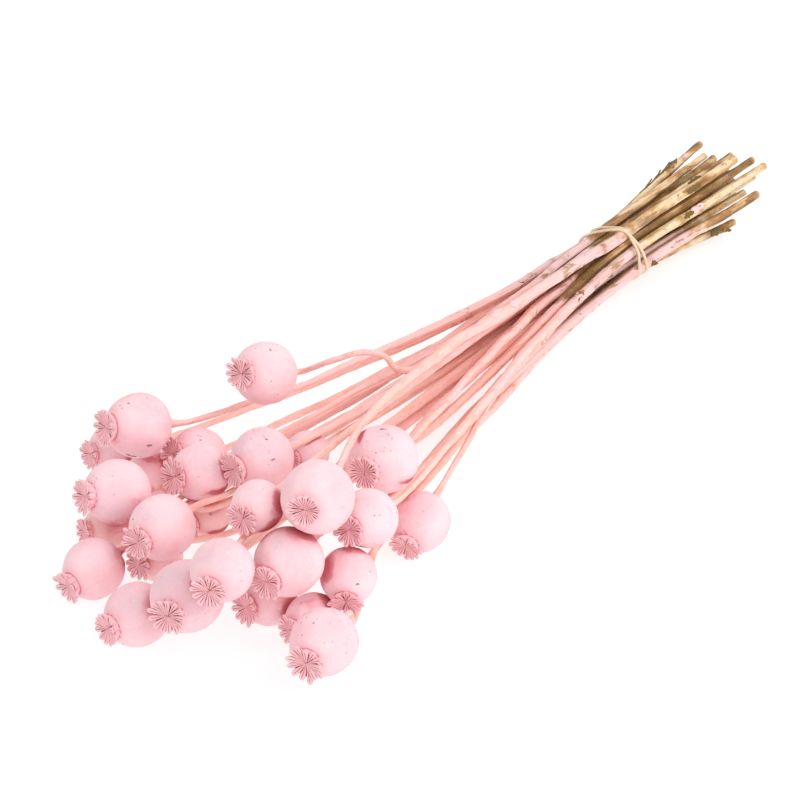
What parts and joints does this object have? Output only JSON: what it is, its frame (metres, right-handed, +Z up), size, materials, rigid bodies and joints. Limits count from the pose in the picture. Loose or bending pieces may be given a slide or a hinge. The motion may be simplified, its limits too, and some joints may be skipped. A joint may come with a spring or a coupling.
{
  "type": "bunch of dried poppy seed heads",
  "caption": "Tied bunch of dried poppy seed heads on their stems, painted pale pink, lying on its side, held by an elastic band near the cut ends.",
  "frame": {"origin": "on the surface, under the middle of the bunch's box", "axes": "+X along the bunch, from the seed heads to the cut ends; +Z up; +Y across the bunch"},
  "size_m": [0.6024, 0.2498, 0.1044],
  "materials": {
    "pink_paint": "chalky matte paint on dried plant",
    "elastic_band": "matte"
  },
  "bodies": {
    "root": {"elastic_band": "elastic_band", "poppy_01": "pink_paint", "poppy_02": "pink_paint", "poppy_03": "pink_paint", "poppy_04": "pink_paint", "poppy_05": "pink_paint", "poppy_06": "pink_paint", "poppy_07": "pink_paint", "poppy_08": "pink_paint", "poppy_09": "pink_paint", "poppy_10": "pink_paint", "poppy_11": "pink_paint", "poppy_12": "pink_paint", "poppy_13": "pink_paint", "poppy_14": "pink_paint", "poppy_15": "pink_paint", "poppy_16": "pink_paint", "poppy_17": "pink_paint", "poppy_18": "pink_paint", "poppy_19": "pink_paint", "poppy_20": "pink_paint", "poppy_21": "pink_paint", "poppy_22": "pink_paint", "poppy_23": "pink_paint", "poppy_24": "pink_paint", "poppy_25": "pink_paint", "poppy_26": "pink_paint", "poppy_27": "pink_paint"}
  },
  "joints": []
}
